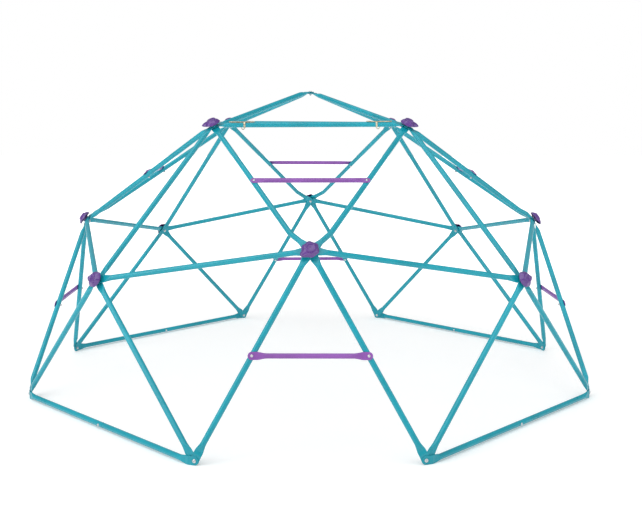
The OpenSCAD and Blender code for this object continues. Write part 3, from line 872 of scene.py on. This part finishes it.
cap_plastic = bpy.data.materials.new("cap_polyethylene")
cap_plastic.use_nodes = True
cap_nodes, cap_links = cap_plastic.node_tree.nodes, cap_plastic.node_tree.links
cap_shader = cap_nodes["Principled BSDF"]
cap_shader.inputs["Specular IOR Level"].default_value = 0.8
cap_where = cap_nodes.new("ShaderNodeTexCoord")
cap_cloud = cap_nodes.new("ShaderNodeTexNoise")
cap_cloud.inputs["Scale"].default_value = 38
cap_cloud.inputs["Detail"].default_value = 4
cap_links.new(cap_where.outputs["Object"], cap_cloud.inputs["Vector"])
cap_shades = cap_nodes.new("ShaderNodeValToRGB")
cap_shades.color_ramp.elements[0].position = 0.3
cap_shades.color_ramp.elements[0].color = (0.07, 0.018, 0.185, 1)
cap_shades.color_ramp.elements[1].position = 0.72
cap_shades.color_ramp.elements[1].color = (0.112, 0.031, 0.255, 1)
cap_links.new(cap_cloud.outputs["Fac"], cap_shades.inputs["Fac"])
cap_links.new(cap_shades.outputs["Color"], cap_shader.inputs["Base Color"])
cap_sheen = cap_nodes.new("ShaderNodeMapRange")
cap_sheen.inputs["From Min"].default_value = 0.3
cap_sheen.inputs["From Max"].default_value = 0.7
cap_sheen.inputs["To Min"].default_value = 0.26
cap_sheen.inputs["To Max"].default_value = 0.38
cap_links.new(cap_cloud.outputs["Fac"], cap_sheen.inputs["Value"])
cap_links.new(cap_sheen.outputs["Result"], cap_shader.inputs["Roughness"])
spark_grain = cap_nodes.new("ShaderNodeTexVoronoi")
spark_grain.inputs["Scale"].default_value = 1100
cap_links.new(cap_where.outputs["Object"], spark_grain.inputs["Vector"])
cap_bump = cap_nodes.new("ShaderNodeBump")
cap_bump.inputs["Strength"].default_value = 0.3
cap_bump.inputs["Distance"].default_value = 0.00012
cap_links.new(spark_grain.outputs["Distance"], cap_bump.inputs["Height"])
cap_links.new(cap_bump.outputs["Normal"], cap_shader.inputs["Normal"])

cap_radius = 0.0355
cap_height = 0.033
cap_wall = 0.0024
rim_lift = 0.009
rim_depth = 0.003
boss_room = 0.003
dome_fullness = 4.4
cap_lobes = 6
cap_lobe_rise = 0.0034
flute_depth = 0.0022
flute_fade = 1.5
beak_reach = 0.0145
beak_spread = 0.42
beak_curl = 0.004
curl_start = 0.62
boss_r = 0.0210
boss_rise = 0.0042
dimple_r = 0.0022
hub_r = 1.05*joint_bolt_d + 0.0003
hub_bore_depth = 0.0062
hub_foot_r = 0.0170
hub_root = 0.002
hub_edge = 0.0006
hub_lead_in = 0.0004


def cap_rim(angle):
    """The rim's distance from the middle: a circle, shallow lobes, and the beak."""
    off_beak = (angle + pi) % (2*pi) - pi
    lobes = cap_lobe_rise*(0.5 + 0.5*cos(cap_lobes*angle))
    return cap_radius + lobes + beak_reach*exp(-(off_beak/beak_spread)**2)


def cap_surface(share, angle):
    """Height of the cap's skin at a share of the way from its middle to its rim."""
    off_beak = (angle + pi) % (2*pi) - pi
    rise = cap_height - rim_lift - rim_depth - boss_room
    dome = rim_lift + rim_depth + rise*(1 - share**dome_fullness)
    flute = flute_depth*share**flute_fade*(0.5 - 0.5*cos(cap_lobes*angle))
    past_start = max(share - curl_start, 0)/(1 - curl_start)
    return dome - flute + beak_curl*past_start*exp(-(off_beak/beak_spread)**2)


def moulded_cap():
    """The shell, its boss and dimple, and the hub that presses over the bolt's head."""
    steps, ring_count = 72, 15
    inner_count, inner_start, inner_pitch = 8, 0.97, 0.0594
    boss_share = boss_r/cap_radius
    skin_r, skin_share, least_r = boss_r*1.02, boss_share*1.02, 0.001
    mesh = bmesh.new()
    angles = [2*pi*i/steps for i in range(steps)]
    sections = []

    def section(radius_at, height_at):
        sections.append([mesh.verts.new((radius_at(a)*cos(a), radius_at(a)*sin(a),
                                         height_at(a))) for a in angles])

    def turned_sections(profile):
        for radius, height in profile:
            section(lambda a: radius, lambda a: height)

    def skin(share, drop, inset=0):
        section(lambda a: max(share*cap_rim(a) - inset, least_r),
                lambda a: max(cap_surface(share, a) - drop, 0))

    # The dimple, the dish and the boss, from the middle outwards
    crown = cap_surface(boss_share, 0) + boss_rise
    turned_sections((
        (dimple_r*0.3, crown - 0.0052), (dimple_r, crown - 0.005),
        (dimple_r, crown - 0.0036), (dimple_r*1.3, crown - 0.0032),
        (boss_r*0.4, crown - 0.0031), (boss_r*0.62, crown - 0.0024),
        (boss_r*0.76, crown - 0.0006), (boss_r*0.84, crown),
        (boss_r*0.91, crown - 0.0002), (boss_r*0.97, crown - 0.0011),
        (boss_r, crown - 0.0022), (boss_r*1.005, crown - 0.0034)))
    # The outer skin, from the boss out to the rim
    for step in range(ring_count):
        share = skin_share + (1 - skin_share)*step/(ring_count - 1)
        section(lambda a: skin_r + (cap_rim(a) - skin_r)*(share - skin_share)/(1 - skin_share),
                lambda a: cap_surface(share, a))
    # The rounded rim, then the inner skin back in
    skin(1.005, 0.0009)
    skin(1, 0.0019, 0.0003)
    skin(0.985, 0.0024, cap_wall*0.5)
    for step in range(inner_count):
        skin(inner_start - inner_pitch*step, cap_wall, cap_wall*0.6)
    # The hub's outside, its foot and its bore
    inner = cap_surface(0.5, pi) - cap_wall
    turned_sections((
        (hub_foot_r + hub_root, inner), (hub_foot_r, hub_edge), (hub_foot_r - hub_edge, 0),
        (hub_r + hub_lead_in, 0), (hub_r, hub_lead_in), (hub_r, hub_bore_depth),
        (hub_r*0.3, hub_bore_depth)))
    for near, far in zip(sections, sections[1:]):
        for i in range(steps):
            j = (i + 1) % steps
            mesh.faces.new((near[i], near[j], far[j], far[i]))
    mesh.faces.new(sections[0])
    mesh.faces.new(sections[-1])
    bmesh.ops.recalc_face_normals(mesh, faces=mesh.faces)
    return new_piece("cap", mesh)


def cap_places(joint, count, beak_turns):
    """A cap's place on each side, its beak turned from level by that side's degrees."""
    lift = Matrix.Translation((0, 0, half_stack(count) + 2*paint_gap))
    return [place @ lift @ Matrix.Rotation(radians(turn), 4, "Z")
            for place, turn in zip(all_round(joint_place(joint)), beak_turns)]


set_out("ladder_joint_caps", moulded_cap(),
        cap_places(ladder_joint, AT_LADDER, (-140, -140, -140, -140)),
        cap_plastic, "cap_plastic", "joint_caps")
set_out("corner_caps", moulded_cap(), cap_places(corner[1], AT_CORNER, (0, 0, 180, 180)),
        cap_plastic, "cap_plastic", "joint_caps")
set_out("top_caps", moulded_cap(), cap_places(top[1], AT_TOP, (-45, -45, -135, -135)),
        cap_plastic, "cap_plastic", "joint_caps")

# ---- The hanging clips ----
# Two clips of bent sheet steel with yellow passivation, for hanging things from the front
# top bar. A strip lies along the bar, and a strap goes round it and ends in a hook.

passivated = bpy.data.materials.new("yellow_passivated_steel")
passivated.use_nodes = True
clip_nodes, clip_links = passivated.node_tree.nodes, passivated.node_tree.links
clip_shader = clip_nodes["Principled BSDF"]
clip_shader.inputs["Metallic"].default_value = 0.85
clip_where = clip_nodes.new("ShaderNodeTexCoord")
clip_stain = clip_nodes.new("ShaderNodeTexNoise")
clip_stain.inputs["Scale"].default_value = 60
clip_stain.inputs["Detail"].default_value = 5
clip_links.new(clip_where.outputs["Object"], clip_stain.inputs["Vector"])
clip_shades = clip_nodes.new("ShaderNodeValToRGB")
clip_shades.color_ramp.elements[0].position = 0.3
clip_shades.color_ramp.elements[0].color = (0.42, 0.34, 0.2, 1)
clip_shades.color_ramp.elements[1].position = 0.65
clip_shades.color_ramp.elements[1].color = (0.78, 0.72, 0.55, 1)
clip_links.new(clip_stain.outputs["Fac"], clip_shades.inputs["Fac"])
clip_links.new(clip_shades.outputs["Color"], clip_shader.inputs["Base Color"])
clip_dull = clip_nodes.new("ShaderNodeMapRange")
clip_dull.inputs["To Min"].default_value = 0.3
clip_dull.inputs["To Max"].default_value = 0.55
clip_links.new(clip_stain.outputs["Fac"], clip_dull.inputs["Value"])
clip_links.new(clip_dull.outputs["Result"], clip_shader.inputs["Roughness"])

clip_sheet = 0.0025
clip_sheet_edge = 0.0005
clip_width = 0.009
clip_reach = 0.150
strip_length = 0.126
strip_lead = 0.6
strip_steps = 24
strip_bow = 0.0012
strip_tip_shares = (0.62, 0.9)
strap_start, strap_sweep, strap_steps = -100, 300, 30
hook_start, hook_sweep, hook_steps = -95, 215, 24
hook_r = 0.008
hook_gap = 0.001
hook_width = clip_width*0.8


def bent_strip(name, path, widths):
    """Sheet metal along a path of (centre, side, out) sections, with softened edges."""
    edge, half = clip_sheet_edge, clip_sheet/2
    stations = []
    for (centre, side, out), width in zip(path, widths):
        w = width/2
        ring = [(w - edge, half), (-w + edge, half), (-w, half - edge), (-w, -half + edge),
                (-w + edge, -half), (w - edge, -half), (w, -half + edge), (w, half - edge)]
        stations.append((centre, side, out, ring))
    return loft(name, stations)


def hanging_clip(name, hand):
    """One clip, on the left or right of the bar. strip_lead is the share of its strip that
    lies on the joint's side of the strap."""
    start, finish = End(top[-1], 3, AT_TOP), End(top[1], 5, AT_TOP)
    ends = (start.bend(finish.joint), finish.bend(start.joint))
    along = (ends[1] - ends[0]).normalized()
    rise = across(outward(top[1]), along).normalized()
    inwards = along*-hand
    joint_end = ends[0] if hand < 0 else ends[1]
    spare = ((top[1] - top[-1]).length - (ends[1] - ends[0]).length)/2
    strap = joint_end + inwards*(clip_reach - spare)
    lift = tube_d/2 + saddle_gap + clip_sheet
    strip_path, strip_widths = [], []
    for step in range(strip_steps + 1):
        share = step/strip_steps
        bow = strip_bow*(2*abs(share - 0.5))**2
        strip_path.append((strap + inwards*strip_length*(share - strip_lead)
                           + rise*(lift + bow), rise.cross(inwards), rise))
        from_end = min(step, strip_steps - step)
        narrowed = strip_tip_shares[from_end] if from_end < len(strip_tip_shares) else 1
        strip_widths.append(clip_width*narrowed)
    strip = bent_strip(name + "_strip", strip_path, strip_widths)
    front = along.cross(rise)
    radius = tube_d/2 + saddle_gap + clip_sheet/2
    strap_path = []
    for step in range(strap_steps + 1):
        a = radians(strap_start + strap_sweep*step/strap_steps)
        out = rise*cos(a) + front*sin(a)
        strap_path.append((strap + out*radius, inwards, out))
    strap_band = bent_strip(name + "_strap", strap_path, [clip_width]*len(strap_path))
    hook_middle = strap - rise*(radius + hook_gap) - inwards*hook_r
    hook_path = []
    for step in range(hook_steps + 1):
        a = radians(hook_start + hook_sweep*step/hook_steps)
        out = -rise*cos(a) - inwards*sin(a)
        hook_path.append((hook_middle + out*hook_r, front, out))
    hook = bent_strip(name + "_hook", hook_path, [hook_width]*len(hook_path))
    return strip, strap_band, hook


for clip_name, hand in (("left_clip", -1), ("right_clip", 1)):
    for piece in hanging_clip(clip_name, hand):
        finish_steel(piece, passivated)
        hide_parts("hanging_clips")
